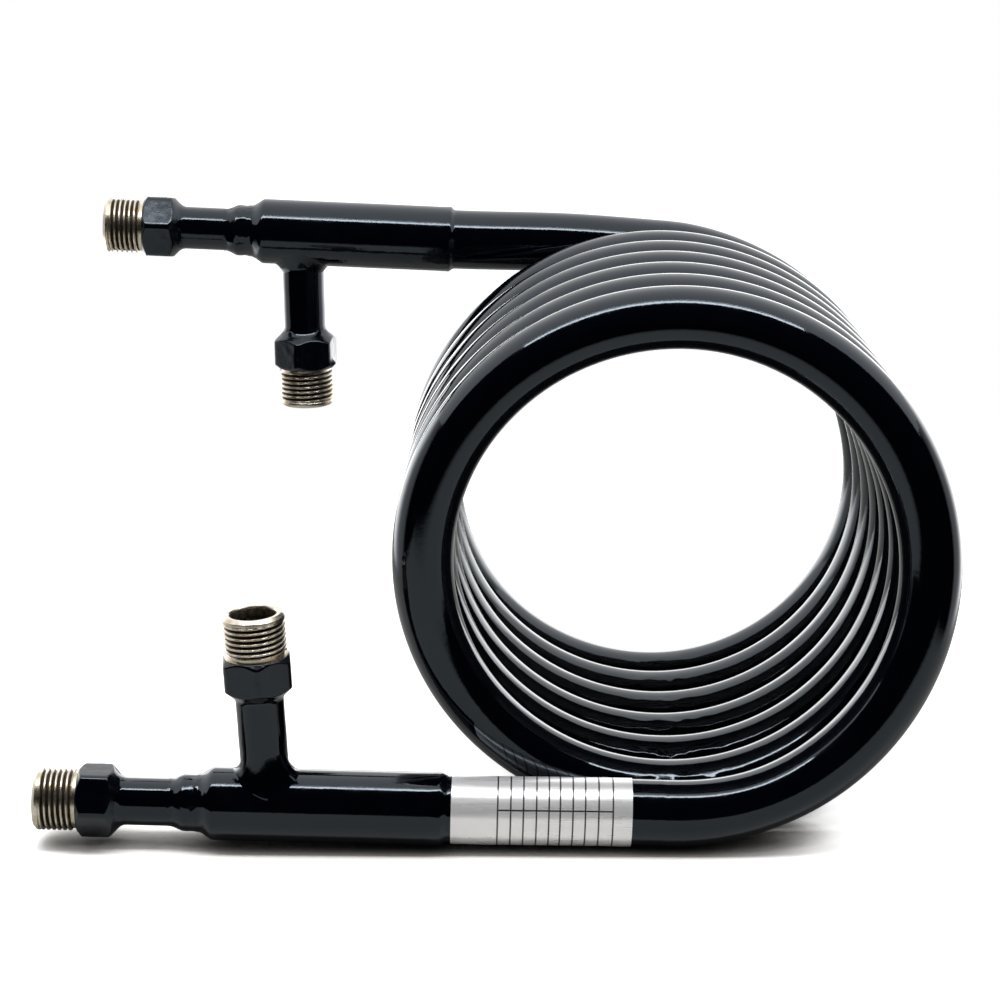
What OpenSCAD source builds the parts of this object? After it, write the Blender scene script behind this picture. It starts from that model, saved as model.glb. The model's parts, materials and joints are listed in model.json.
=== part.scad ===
// Counterflow wort chiller, lying on its side: a steel jacket tube wound into a
// coil, with a second tube running inside it from end to end. Wort runs through
// the inner tube and water through the ring-shaped space round it. Each end has a
// header with a water branch, and all four ports end in a hexagon with a G 1/2
// male thread. Millimetres, +Z up, coil axis along Y, origin on the floor under
// the middle of the whole object.

/* [Coil] */
// Radius of the coil, from its axis to the middle of the tube
coil_r = 83; // [72:0.5:140]
// Step from one turn to the next along the coil's axis
turn_pitch = 23.6; // [23:0.1:34]
// Half turns between the front arm and the rear arm, an odd number
half_turns = 13; // [5:2:19]
// Climb of the rear arm, in degrees
rear_rise = 2.2; // [0:0.1:5]

/* [Tubes] */
// Outside diameter of the jacket tube
jacket_od = 22.2; // [20.5:0.1:22.8]
// Wall of the jacket tube
jacket_wall = 1.2; // [0.8:0.1:1.8]
// Outside diameter of the inner tube
inner_od = 15.88; // [12:0.02:16.5]
// Wall of the inner tube
inner_wall = 1; // [0.6:0.1:1.6]
// Outside diameter of the branch tubes
branch_od = 15.88; // [12:0.02:16.5]
// Wall of the branch tubes
branch_wall = 1.2; // [0.8:0.1:1.6]
// Gap all round a tube where it is brazed into a socket
braze_gap = 0.1; // [0.05:0.05:0.3]

/* [Headers] */
// Wall of the headers, the wider sleeves at the ends of the jacket tube
header_wall = 1; // [0.8:0.1:2.5]
// Wall of a header's neck, which is pressed narrower and so comes out thicker
neck_wall = 1.5; // [0.8:0.1:2.5]
// How far the front header's inner rim sits above the floor
front_clearance = 0.5; // [0:0.1:3]
// From the coil's last bend to the front header's inner rim
front_header_from = 76; // [64:0.5:92]
// From the coil's last bend to the rear header's inner rim
rear_header_from = 81.5; // [64:0.5:92]
// From the coil's last bend to the outer end of a header's neck
header_to = 160.5; // [156:0.5:172]
// Length of the straight neck
neck_len = 5; // [3:0.1:7]
// Length of the rounded shoulder between header and neck
shoulder_len = 5.2; // [4:0.1:7]
// How far the jacket tube reaches into its header
lap_len = 14; // [8:0.5:20]

/* [Water branches] */
// From the coil's last bend to the front branch
front_branch_at = 132.7; // [120:0.1:136]
// From the coil's last bend to the rear branch
rear_branch_at = 136.5; // [120:0.1:137]
// Lean of the front branch towards its wort port, in degrees
front_branch_lean = 4.2; // [-6:0.1:6]
// Lean of the rear branch away from its wort port, in degrees
rear_branch_lean = 3.1; // [-6:0.1:6]
// Turn of both branches about their headers towards the front, in degrees
branch_roll = 5; // [-8:0.5:8]
// From the header's axis to the inner face of the front branch's fitting
branch_reach = 39.8; // [32:0.1:60]
// How much nearer to its header the rear branch's fitting sits
rear_branch_short = 1.6; // [-3:0.1:4]

/* [Fittings] */
// From the coil's last bend to the inner face of the wort fitting
port_reach = 182.5; // [180:0.1:200]
// Depth of the socket that the tube is brazed into
socket_depth = 10; // [6:0.5:14]
// Wall round the mouth of the socket
socket_wall = 1.4; // [1:0.1:2]
// Length of the cone between the socket's mouth and the hexagon's corners
cone_len = 2.6; // [2:0.1:8]
// Hexagon, across its flats
hex_flats = 22; // [21.6:0.1:25]
// Length of the hexagon
hex_len = 10.4; // [6:0.1:16]
// How much the hexagon's corners are turned down
corner_trim = 0.4; // [0:0.1:0.8]
// Length of the chamfer on the hexagon's thread side
end_chamfer = 1.9; // [0.5:0.1:4]
// Outside diameter of the thread, cut a little under G 1/2
thread_od = 20.7; // [19.6:0.05:21]
// Pitch of the thread, 14 turns to the inch
thread_pitch = 1.814; // [1:0.001:2.2]
// Length from the hexagon to the end of the thread
thread_len = 14.4; // [9:0.1:20]
// Bore that the liquid runs through
port_bore = 15; // [11:0.1:15.6]

/* [Directions of the hexagons] */
// Turn of the front wort fitting's hexagon, in degrees
front_wort_turn = 24; // [0:1:59]
// Turn of the rear wort fitting's hexagon, in degrees
rear_wort_turn = 34; // [0:1:59]
// Turn of the front water fitting's hexagon, in degrees
front_water_turn = 36; // [0:1:59]
// Turn of the rear water fitting's hexagon, in degrees
rear_water_turn = 40; // [0:1:59]

/* [Braze] */
// Length of the fillet between jacket tube and header
lap_fillet = 3; // [1.5:0.1:5]
// Length of the bead between header neck and inner tube
neck_bead = 4.5; // [2:0.1:7]
// Reach of the saddle fillet round a branch
saddle_fillet = 2.6; // [1:0.1:3.5]
// Length of the fillet in front of a fitting
socket_fillet = 1.8; // [1:0.1:3]
// Thickness that a fillet runs out to
fillet_toe = 0.3; // [0.1:0.1:0.6]

/* [Label] */
// From the coil's last bend to the label
label_from = 11.8; // [4:0.1:20]
// Bare tube between the label and the header's fillet
label_margin = 1.4; // [0.2:0.1:10]
// Thickness of the foil
label_t = 0.15; // [0.05:0.05:0.5]
// Thickness of the glue under the foil
glue_t = 0.1; // [0.05:0.05:0.3]
// How far the label reaches round the tube, in degrees
label_wrap = 320; // [180:5:350]

/* [Hidden] */
$fn = 72;
bend_steps = 180;

paint = [0.07, 0.07, 0.08];
nickel = [0.72, 0.69, 0.64];
bare_steel = [0.6, 0.6, 0.61];
foil = [0.82, 0.83, 0.85];

// which end of the coil something belongs to
FRONT = -1;
REAR = 1;

// radii that follow from the sizes above
jacket_r = jacket_od / 2;
inner_r = inner_od / 2;
branch_r = branch_od / 2;
header_bore_r = jacket_r + braze_gap;
header_r = header_bore_r + header_wall;
neck_bore_r = inner_r + braze_gap;
neck_r = neck_bore_r + neck_wall;
thread_r = thread_od / 2;
hex_r = hex_flats / 2 / cos(30) - corner_trim;
face_r = hex_flats / 2 - corner_trim;
hex_to = cone_len + hex_len;
fitting_len = hex_to + thread_len;
chamfer_len = min(end_chamfer, hex_len / 2);

// the neck's bead and the wort fitting's fillet share the bare tube between them
stub_len = port_reach - header_to;
bead_share = 0.65;
fillet_share = 0.3;
neck_bead_len = min(neck_bead, bead_share * stub_len);
wort_fillet_len = min(socket_fillet, fillet_share * stub_len);

// how far cutting shapes run past what they cut
past = 10;

// thread: a ring for each turn, a plain neck at the hexagon and a chamfered end
thread_form = 0.64;
crest_form = 0.125;
thread_depth = thread_form * thread_pitch;
root_r = thread_r - thread_depth;
crest_len = crest_form * thread_pitch;
thread_turns = floor((thread_len - thread_depth - crest_len) / thread_pitch);
thread_first = thread_len - thread_depth - crest_len - (thread_turns - 1) * thread_pitch;

// a half turn is a plane half circle, tipped so that it climbs half a pitch
arc_r = sqrt(pow(coil_r, 2) + pow(turn_pitch / 4, 2));
arc_tip = atan2(turn_pitch / 4, coil_r);
axis_z = coil_r + jacket_r;
last_turn = half_turns - 1;

// half turns and arms meet in bands that stand hardly proud of the tube
seam_len = 1.2;
seam_crest = 0.03;
seam_dip = 0.08;
seam_gap = 0.05;
seam_angle = seam_gap / arc_r * 180 / PI;

// the front arm climbs until the rim of its header clears the floor
front_rise = asin((header_r - jacket_r + front_clearance) / front_header_from);

// where the header's full width ends, and the outer ends of the arms
wide_to = header_to - neck_len - shoulder_len;
arm_len = port_reach + fitting_len;

// even half turns climb on the right, odd ones on the left
function climb(k) = k % 2 == 0 ? 1 : -1;
function start_angle(k) = -90 * climb(k);
function turn_y(k) = (k + 0.5) * turn_pitch / 2;

// point of half turn k's plane, u across and v up, with the coil's front end at y = 0
function in_plane(k, u, v) = [
    u,
    turn_y(k) + climb(k) * v * sin(arc_tip),
    axis_z + v * cos(arc_tip)
];
function rise(end) = end == FRONT ? front_rise : rear_rise;
function end_turn(end) = end == FRONT ? 0 : last_turn;
function turn_point(k, a) = in_plane(k, arc_r * cos(a), arc_r * sin(a));
function arm_point(end, s) = in_plane(
    end_turn(end),
    end * arc_r * sin(rise(end)) - s * cos(rise(end)),
    end * arc_r * cos(rise(end)) + s * sin(rise(end))
);

// what belongs to one branch or the other
function branch_at(end) = end == FRONT ? front_branch_at : rear_branch_at;
function branch_lean(end) = end == FRONT ? front_branch_lean : rear_branch_lean;
function water_reach(end) = end == FRONT ? branch_reach : branch_reach - rear_branch_short;

// how far back a branch's direction points, and where its hexagon is widest
function branch_back(end) = let(lean = branch_lean(end), slope = rise(end)) -end * (
    cos(lean) * (cos(branch_roll) * cos(slope) * sin(arc_tip) - sin(branch_roll) * cos(arc_tip))
    + sin(lean) * sin(slope) * sin(arc_tip)
);
function water_y(end) = arm_point(end, branch_at(end)).y
    + (water_reach(end) + hex_to - chamfer_len) * branch_back(end);

// the part's origin lies under the middle of the whole object
low_x = arm_point(FRONT, arm_len).x - root_r * sin(front_rise);
high_x = arc_r + jacket_r;
low_y = min(arm_point(FRONT, front_header_from).y - header_r, water_y(FRONT) - hex_r);
high_y = max(arm_point(REAR, wide_to).y + header_r, water_y(REAR) + hex_r);
coil_place = [-(low_x + high_x) / 2, -(low_y + high_y) / 2, 0];

// least gap of the wound tube to itself, between points over half a turn apart
route_steps = 36;
arm_step = coil_r * PI / route_steps;
route = concat(
    [for (s = [front_header_from:-arm_step:arm_step]) arm_point(FRONT, s)],
    [for (k = [0:last_turn], i = [0:route_steps - 1])
        turn_point(k, start_angle(k) + i * 180 / route_steps)],
    [for (s = [0:arm_step:rear_header_from]) arm_point(REAR, s)]
);
least_gap = min([
    for (i = [0:len(route) - 1], j = [i + route_steps:1:len(route) - 1]) norm(route[i] - route[j])
]) - jacket_od;
echo(str("least gap of the wound tube to itself: ", least_gap, " mm"));

// ---- places ----

// frame of half turn k: x across, y up in its tipped plane
module in_turn(k) {
    translate(coil_place + [0, turn_y(k), axis_z]) rotate([90 - climb(k) * arc_tip, 0, 0]) children();
}

// frame at the start of an arm: z outwards along it, x up, y to the back
module on_arm(end) {
    in_turn(end_turn(end)) rotate([0, 0, end * (90 - end * rise(end))]) translate([arc_r, 0, 0])
        rotate([-90 * end, 0, 0]) rotate([0, 0, end == FRONT ? 180 : 0]) children();
}

// frame on a header's axis: z outwards along the branch
module on_branch_of_arm(end) {
    rotate([0, 0, -branch_roll]) translate([0, 0, branch_at(end)])
        rotate([0, -90 * end - branch_lean(end), 0]) children();
}

module on_branch(end) {
    on_arm(end) on_branch_of_arm(end) children();
}

// header's axis seen from its branch: z along it
module along_header(end) {
    rotate([0, 90 + branch_lean(end), 0]) children();
}

// ---- shapes that repeat ----

module ring(outer, inner) {
    difference() {
        circle(r = outer);
        circle(r = inner);
    }
}

module pipe(outer, inner, length) {
    linear_extrude(length) ring(outer, inner);
}

// half turn k of a tube, its ends a hair short of the next half turn or the arm
module bend(k, outer, inner) {
    from = start_angle(k) - (k == 0 ? front_rise : 0) + seam_angle;
    to = start_angle(k) + 180 - (k == last_turn ? rear_rise : 0) - seam_angle;
    in_turn(k) rotate_extrude(angle = to - from, start = from, $fn = bend_steps)
        translate([arc_r, 0]) ring(outer, inner);
}

// band that closes a seam between two lengths of tube, its middle at z = 0
module seam(outer, inner) {
    half = seam_len / 2;
    rotate_extrude() polygon([
        [outer - seam_dip, -half],
        [outer + seam_crest, 0],
        [outer - seam_dip, half],
        [inner + seam_dip, half],
        [inner - seam_crest, 0],
        [inner + seam_dip, -half]
    ]);
}

module arm(end, outer, inner, length) {
    on_arm(end) {
        seam(outer, inner);
        translate([0, 0, seam_gap]) pipe(outer, inner, length - seam_gap);
    }
}

// coil with its two straight arms, as one unbroken tube
module wound_tube(outer, inner, front_len, rear_len) {
    for (k = [0:last_turn]) bend(k, outer, inner);
    for (k = [0:last_turn - 1])
        in_turn(k) translate([0, climb(k) * arc_r, 0]) rotate([0, 90, 0]) seam(outer, inner);
    arm(FRONT, outer, inner, front_len);
    arm(REAR, outer, inner, rear_len);
}

// S-shaped shoulder between two radii, as points [radius, z]
shoulder_steps = 6;
function shoulder(big, small, from, to) = [
    for (i = [0:shoulder_steps]) let(t = i / shoulder_steps)
        [small + (big - small) * (1 + cos(180 * t)) / 2, from + (to - from) * t]
];
function backwards(list) = [for (i = [len(list) - 1:-1:0]) list[i]];

// header sleeve with its necked outer end and the hole for its branch
module header(end, from) {
    narrow_from = header_to - neck_len;
    inner_shift = header_wall / 2;
    outside = concat(
        [[header_r, from]],
        shoulder(header_r, neck_r, wide_to, narrow_from),
        [[neck_r, header_to]]
    );
    inside = concat(
        [[header_bore_r, from]],
        shoulder(header_bore_r, neck_bore_r, wide_to - inner_shift, narrow_from - inner_shift),
        [[neck_bore_r, header_to]]
    );
    on_arm(end) difference() {
        rotate_extrude() polygon(concat(outside, backwards(inside)));
        on_branch_of_arm(end) cylinder(r = branch_r + braze_gap, h = header_r + past);
    }
}

// branch tube, its inner end cut to follow the header's bore
module branch_tube(end) {
    on_branch(end) difference() {
        pipe(branch_r, branch_r - branch_wall, water_reach(end) + socket_depth - braze_gap);
        along_header(end) cylinder(r = header_bore_r, h = branch_od + 2 * past, center = true);
    }
}

// hollow ring of flat sections: column i holds section i's points, all in order
module ring_of_sections(sections) {
    count = len(sections);
    size = len(sections[0]);
    polyhedron(
        points = [for (section = sections) each section],
        faces = [
            for (i = [0:count - 1], j = [0:size - 1]) let(
                a = i * size + j,
                b = i * size + (j + 1) % size,
                c = (i + 1) % count * size + (j + 1) % size,
                d = (i + 1) % count * size + j
            ) each [[a, b, c], [a, c, d]]
        ]
    );
}

// hollow fillet that follows the saddle where a branch stands on its header: it lies
// a hair off both tubes, and stays on top of the header where the branch is nearly as wide
saddle_steps = 48;
arc_steps = 3;
lift = 0.02;
saddle_side = 0.93;
module saddle_braze(end) {
    lean = branch_lean(end);
    reach = min(saddle_fillet, saddle_side * header_r - branch_r);
    // height over the header's axis at which a point of the branch's frame meets the header
    function saddle_z(x, y) = (sqrt(pow(header_r + lift, 2) - y * y) - x * sin(lean)) / cos(lean);
    function at_angle(a, r, up) = [r * cos(a), r * sin(a), saddle_z(r * cos(a), r * sin(a)) + up];
    sections = [
        for (i = [0:saddle_steps - 1]) let(a = i * 360 / saddle_steps) concat(
            [at_angle(a, branch_r + lift, 0)],
            [for (j = [0:arc_steps]) let(t = j * 90 / arc_steps)
                at_angle(a, branch_r + lift + fillet_toe + (reach - fillet_toe) * (1 - sin(t)),
                         fillet_toe + (reach - fillet_toe) * (1 - cos(t)))],
            [at_angle(a, branch_r + lift, reach)]
        )
    ];
    on_branch(end) ring_of_sections(sections);
}

// straight fillet round a tube, as high as a rim at z = 0 and running out towards +z
module fillet_ring(tube_r, rim_r, length) {
    toe_r = tube_r + fillet_toe;
    rotate_extrude() polygon([[tube_r, 0], [rim_r, 0], [toe_r, length], [tube_r, length]]);
}

module fillet_before(z, tube_r, rim_r, length) {
    translate([0, 0, z]) mirror([0, 0, 1]) fillet_ring(tube_r, rim_r, length);
}

module lap_braze(end, from) {
    on_arm(end) fillet_before(from, jacket_r, header_r, lap_fillet);
}

module neck_braze(end) {
    on_arm(end) translate([0, 0, header_to]) fillet_ring(inner_r, neck_r, neck_bead_len);
}

module wort_braze(end) {
    on_arm(end) fillet_before(port_reach, inner_r, inner_r + socket_wall, wort_fillet_len);
}

module water_braze(end) {
    on_branch(end) fillet_before(water_reach(end), branch_r, branch_r + socket_wall, socket_fillet);
}

// outline of a fitting as it is turned, points [radius, z] from its inner face outwards
function turned_outline(mouth_r) = concat(
    [[0, 0], [mouth_r, 0], [hex_r, cone_len]],
    [[hex_r, hex_to - chamfer_len], [face_r, hex_to], [root_r, hex_to]],
    [for (i = [0:thread_turns - 1]) let(z = hex_to + thread_first + i * thread_pitch) each [
        [root_r, z - (thread_pitch - crest_len) / 2],
        [thread_r, z],
        [thread_r, z + crest_len]
    ]],
    [[root_r, fitting_len], [0, fitting_len]]
);

// slab that cuts one flat of the hexagon
module flat_cut() {
    translate([hex_flats / 2, -hex_r, 0]) cube([hex_r, 2 * hex_r, hex_to]);
}

// brazed-on fitting, z from its inner face outwards: cone, hexagon, male thread
module fitting(tube_r, turn) {
    color(nickel) difference() {
        rotate_extrude() polygon(turned_outline(tube_r + braze_gap + socket_wall));
        for (i = [0:5]) rotate([0, 0, turn + 30 + i * 60]) flat_cut();
        translate([0, 0, -past]) cylinder(r = port_bore / 2, h = fitting_len + 2 * past);
        translate([0, 0, -past]) cylinder(r = tube_r + braze_gap, h = socket_depth + past);
    }
}

// ---- the pieces ----

module outer_tube() {
    front_len = front_header_from + lap_len;
    rear_len = rear_header_from + lap_len;
    color(paint) wound_tube(jacket_r, jacket_r - jacket_wall, front_len, rear_len);
}

module inner_tube() {
    end_len = port_reach + socket_depth - braze_gap;
    color(bare_steel) wound_tube(inner_r, inner_r - inner_wall, end_len, end_len);
}

module front_header() {
    color(paint) header(FRONT, front_header_from);
}

module rear_header() {
    color(paint) header(REAR, rear_header_from);
}

module front_branch_tube() {
    color(paint) branch_tube(FRONT);
}

module rear_branch_tube() {
    color(paint) branch_tube(REAR);
}

module front_wort_fitting() {
    on_arm(FRONT) translate([0, 0, port_reach]) fitting(inner_r, front_wort_turn);
}

module rear_wort_fitting() {
    on_arm(REAR) translate([0, 0, port_reach]) fitting(inner_r, rear_wort_turn);
}

module front_water_fitting() {
    on_branch(FRONT) translate([0, 0, water_reach(FRONT)]) fitting(branch_r, front_water_turn);
}

module rear_water_fitting() {
    on_branch(REAR) translate([0, 0, water_reach(REAR)]) fitting(branch_r, rear_water_turn);
}

module front_lap_braze() {
    color(paint) lap_braze(FRONT, front_header_from);
}

module rear_lap_braze() {
    color(paint) lap_braze(REAR, rear_header_from);
}

module front_neck_braze() {
    color(paint) neck_braze(FRONT);
}

module rear_neck_braze() {
    color(paint) neck_braze(REAR);
}

module front_saddle_braze() {
    color(paint) saddle_braze(FRONT);
}

module rear_saddle_braze() {
    color(paint) saddle_braze(REAR);
}

module front_wort_braze() {
    color(paint) wort_braze(FRONT);
}

module rear_wort_braze() {
    color(paint) wort_braze(REAR);
}

module front_water_braze() {
    color(paint) water_braze(FRONT);
}

module rear_water_braze() {
    color(paint) water_braze(REAR);
}

// bare foil label round the front arm, open at the back
module rating_label() {
    label_len = front_header_from - lap_fillet - label_margin - label_from;
    open_back = 360 - label_wrap;
    color(foil) on_arm(FRONT) translate([0, 0, label_from]) rotate([0, 0, 90 + open_back / 2])
        rotate_extrude(angle = label_wrap)
            translate([jacket_r + glue_t, 0]) square([label_t, label_len]);
}

outer_tube();
inner_tube();
front_header();
rear_header();
front_branch_tube();
rear_branch_tube();
front_wort_fitting();
rear_wort_fitting();
front_water_fitting();
rear_water_fitting();
front_lap_braze();
rear_lap_braze();
front_neck_braze();
rear_neck_braze();
front_saddle_braze();
rear_saddle_braze();
front_wort_braze();
rear_wort_braze();
front_water_braze();
rear_water_braze();
rating_label();
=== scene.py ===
"""Looks of a counterflow wort chiller: a gloss black coil with bare threaded ports, on a pale floor."""

import json
import math

import bpy
import numpy as np
from mathutils import Matrix, Vector, noise


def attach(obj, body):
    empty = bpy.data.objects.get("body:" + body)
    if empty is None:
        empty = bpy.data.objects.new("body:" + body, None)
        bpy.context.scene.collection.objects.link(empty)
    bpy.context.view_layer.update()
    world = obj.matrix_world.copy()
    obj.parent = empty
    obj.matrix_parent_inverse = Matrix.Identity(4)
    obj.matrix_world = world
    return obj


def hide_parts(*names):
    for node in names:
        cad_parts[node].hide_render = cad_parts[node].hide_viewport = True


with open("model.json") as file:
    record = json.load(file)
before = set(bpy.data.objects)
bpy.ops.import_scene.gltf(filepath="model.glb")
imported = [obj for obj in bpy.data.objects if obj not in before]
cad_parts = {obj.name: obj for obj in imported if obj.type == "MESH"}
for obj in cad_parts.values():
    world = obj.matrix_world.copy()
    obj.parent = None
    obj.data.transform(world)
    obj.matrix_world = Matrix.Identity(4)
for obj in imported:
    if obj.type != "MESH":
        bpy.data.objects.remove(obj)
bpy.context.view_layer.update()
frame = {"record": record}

# ---- driving sizes, in millimetres, the same as the part's to 0.01 mm ----
MM = 0.001
COIL_R = 83.0
TURN_PITCH = 23.6
HALF_TURNS = 13
FRONT_HEADER_FROM = 76.0
REAR_HEADER_FROM = 81.5
HEADER_TO = 160.5
REAR_RISE = 2.2
JACKET_R = 11.1
JACKET_WALL = 1.2
INNER_R = 7.94
INNER_WALL = 1.0
BRANCH_R = 7.94
BRANCH_WALL = 1.2
BRAZE_GAP = 0.1
HEADER_WALL = 1.0
NECK_WALL = 1.5
FRONT_CLEARANCE = 0.5
NECK_LEN = 5.0
SHOULDER_LEN = 5.2
LAP_LEN = 14.0
BRANCH_AT = {"front": 132.7, "rear": 136.5}
BRANCH_LEAN = {"front": 4.2, "rear": 3.1}
BRANCH_ROLL = 5.0
BRANCH_REACH = {"front": 39.8, "rear": 38.2}
PORT_REACH = 182.5
SOCKET_DEPTH = 10.0
CONE_LEN = 2.6
HEX_FLATS = 22.0
HEX_LEN = 10.4
HEX_CORNER_R = 12.3
HEX_FACE_R = 10.6
THREAD_ROOT_R = 9.19
THREAD_PITCH = 1.814
THREAD_LEN = 14.4
BORE_R = 7.5
HEX_TURN = {"front_wort": 24, "rear_wort": 34, "front_water": 36, "rear_water": 40}
LABEL_FROM, LABEL_TO = 11.8, 71.6
LABEL_WRAP = 320

# ---- four sizes that differ from the part's, by 0.02 to 0.3 mm ----
END_CHAMFER = 1.6
THREAD_R = 10.25
LABEL_GLUE = 0.12
LABEL_T = 0.13

# ---- places that follow from them ----
HEADER_BORE_R = JACKET_R + BRAZE_GAP
HEADER_R = HEADER_BORE_R + HEADER_WALL
NECK_BORE_R = INNER_R + BRAZE_GAP
NECK_R = NECK_BORE_R + NECK_WALL
SHOULDER_FROM = HEADER_TO - NECK_LEN - SHOULDER_LEN
FITTING_LEN = CONE_LEN + HEX_LEN + THREAD_LEN
ARC_R = math.hypot(COIL_R, TURN_PITCH / 4)
ARC_TIP = math.atan2(TURN_PITCH / 4, COIL_R)
AXIS_Z = COIL_R + JACKET_R
HEADER_FROM = {"front": FRONT_HEADER_FROM, "rear": REAR_HEADER_FROM}
RISE = {
    "front": math.asin((HEADER_R - JACKET_R + FRONT_CLEARANCE) / FRONT_HEADER_FROM),
    "rear": math.radians(REAR_RISE),
}
END_TURN = {"front": 0, "rear": HALF_TURNS - 1}
END_SIGN = {"front": -1, "rear": 1}


def climb(k):
    return 1 if k % 2 == 0 else -1


def turn_axes(k):
    """Across and up, the two directions of half turn k's tipped plane."""
    up = np.array([0, climb(k) * math.sin(ARC_TIP), math.cos(ARC_TIP)])
    return np.array([1.0, 0, 0]), up


def in_plane(k, u, v):
    across, up = turn_axes(k)
    return np.array([0, (k + 0.5) * TURN_PITCH / 2, AXIS_Z]) + u * across + v * up


class Run:
    """A straight run: where it starts, its direction, and the two directions square to it."""

    def __init__(self, origin, axis, up):
        self.origin = origin
        self.axis = axis
        self.up = up
        self.back = np.cross(axis, up)

    def at(self, z):
        return self.origin + z * self.axis

    def ring(self, z, angles, radii):
        side = np.outer(radii * np.cos(angles), self.up) + np.outer(radii * np.sin(angles), self.back)
        return self.origin + z * self.axis + side

    def moved(self, z):
        return Run(self.at(z), self.axis, self.up)


def arm_run(end):
    """The arm's axis: outwards from the coil's last bend, up in its tipped plane."""
    across, up = turn_axes(END_TURN[end])
    rise, sign = RISE[end], END_SIGN[end]
    lift = math.sin(rise) * across + math.cos(rise) * up
    axis = math.sin(rise) * up - math.cos(rise) * across
    centre = in_plane(END_TURN[end], 0, 0)
    return Run(centre + sign * ARC_R * lift, axis, lift)


def branch_run(end):
    """The water branch's axis, from the header's axis outwards."""
    arm = ARM[end]
    lean = math.radians(BRANCH_LEAN[end])
    roll = math.radians(BRANCH_ROLL)
    sign = -END_SIGN[end]
    square = math.cos(roll) * arm.up - math.sin(roll) * arm.back
    out = sign * (math.cos(lean) * square + math.sin(lean) * arm.axis)
    along = math.cos(lean) * arm.axis - math.sin(lean) * square
    return Run(arm.at(BRANCH_AT[end]), out, -sign * along)


def coil_place():
    """Where the coil's own frame lies in the part's, from the mount in the front wort port."""
    mounts = {m["name"]: m for m in frame["record"]["mounts"]}
    stated = np.array(mounts["front_wort_bore"]["pos_m"]) / MM
    return stated - arm_run("front").at(PORT_REACH + (SOCKET_DEPTH + FITTING_LEN) / 2)


PLACE = coil_place()
ARM = {end: arm_run(end) for end in ("front", "rear")}
for run in ARM.values():
    run.origin = run.origin + PLACE
BRANCH = {end: branch_run(end) for end in ("front", "rear")}


# ---- mesh helpers ----
def ease(x, low, high):
    """0 below low, 1 above high, and smooth between."""
    t = np.clip((np.asarray(x, float) - low) / (high - low), 0, 1)
    return t * t * (3 - 2 * t)


def eased(knots, z):
    """Smooth steps through knots (z, value), flat at each knot and before and after them."""
    for (z0, v0), (z1, v1) in zip(knots, knots[1:]):
        if z <= z1:
            return v0 + (v1 - v0) * float(ease(z, z0, z1))
    return knots[-1][1]


def spaced(low, high, step):
    count = max(1, int(round((high - low) / step)))
    return [low + (high - low) * i / count for i in range(count + 1)]


def field(points, size, seed):
    """Smooth noise from -1 to 1 at points in millimetres; size is that of its swells."""
    scaled = points.reshape(-1, 3) / size + seed
    values = [noise.noise(Vector(p)) for p in scaled]
    return np.array(values).reshape(points.shape[:-1])


def make_piece(name, points, faces, mm_map=None, crease=40):
    """A smooth-shaded mesh from points in millimetres; mm_map gives each point's place in its pattern."""
    mesh = bpy.data.meshes.new(name)
    mesh.from_pydata((np.asarray(points) * MM).tolist(), [], faces)
    mesh.polygons.foreach_set("use_smooth", [True] * len(mesh.polygons))
    mesh.set_sharp_from_angle(angle=math.radians(crease))
    if mm_map is not None:
        layer = mesh.uv_layers.new(name="place_mm")
        loops = np.zeros(len(mesh.loops), int)
        mesh.loops.foreach_get("vertex_index", loops)
        layer.uv.foreach_set("vector", np.asarray(mm_map)[loops].astype(np.float32).ravel())
    mesh.validate()
    piece = bpy.data.objects.new(name, mesh)
    bpy.context.scene.collection.objects.link(piece)
    return piece


def hoop_faces(rings, sides, closed=True):
    """Quads between rings of points; closed joins the last ring to the first."""
    faces = []
    for i in range(rings if closed else rings - 1):
        a, b = i * sides, (i + 1) % rings * sides
        faces += [(a + j, a + (j + 1) % sides, b + (j + 1) % sides, b + j) for j in range(sides)]
    return faces


def ring_piece(name, rings, crease=40):
    """Closed hollow piece from rings: along its outer skin, then back along its bore."""
    points = np.array(rings)
    count, sides = points.shape[:2]
    return make_piece(name, points.reshape(-1, 3), hoop_faces(count, sides), crease=crease)


def swollen(points, run, amount):
    """Points pushed away from a run's axis by amount."""
    offset = points - run.origin
    offset = offset - np.outer(offset @ run.axis, run.axis)
    length = np.linalg.norm(offset, axis=1, keepdims=True)
    return points + offset / length * amount[:, None]


def turned(name, run, skin, bore, roughness, sides):
    """Piece turned about a run from skin and bore, lists of (z, radius); roughness swells the skin."""
    angles = np.arange(sides) * 2 * math.pi / sides
    rings = []
    for z, radius in skin:
        points = run.ring(z, angles, np.full(sides, radius))
        rings.append(swollen(points, run, roughness(points, z)))
    for z, radius in reversed(bore):
        rings.append(run.ring(z, angles, np.full(sides, radius)))
    return ring_piece(name, rings)


def cut_hole(piece, run, radius, low, high, sides=96):
    """Cuts a round hole along a run from low to high."""
    angles = np.arange(sides) * 2 * math.pi / sides
    rings = [run.ring(z, angles, np.full(sides, radius)) for z in (low, high)]
    points = np.array(rings).reshape(-1, 3)
    faces = hoop_faces(2, sides, closed=False)
    faces += [tuple(range(sides))[::-1], tuple(range(sides, 2 * sides))]
    cutter = make_piece(piece.name + "_cutter", points, faces)
    cut = piece.modifiers.new("hole", "BOOLEAN")
    cut.object = cutter
    cut.operation = "DIFFERENCE"
    cut.solver = "EXACT"
    whole = bpy.data.meshes.new_from_object(piece.evaluated_get(bpy.context.evaluated_depsgraph_get()))
    piece.modifiers.clear()
    piece.data = whole
    bpy.data.objects.remove(cutter)


# ---- paint and lumps on the arms ----
FILLET_FROM = {"front": 72.4, "rear": 78.9}
NECK_BEAD = 4.5
CONE_SLOPE = 1.1
CONE_FOOT = 2.7
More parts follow.
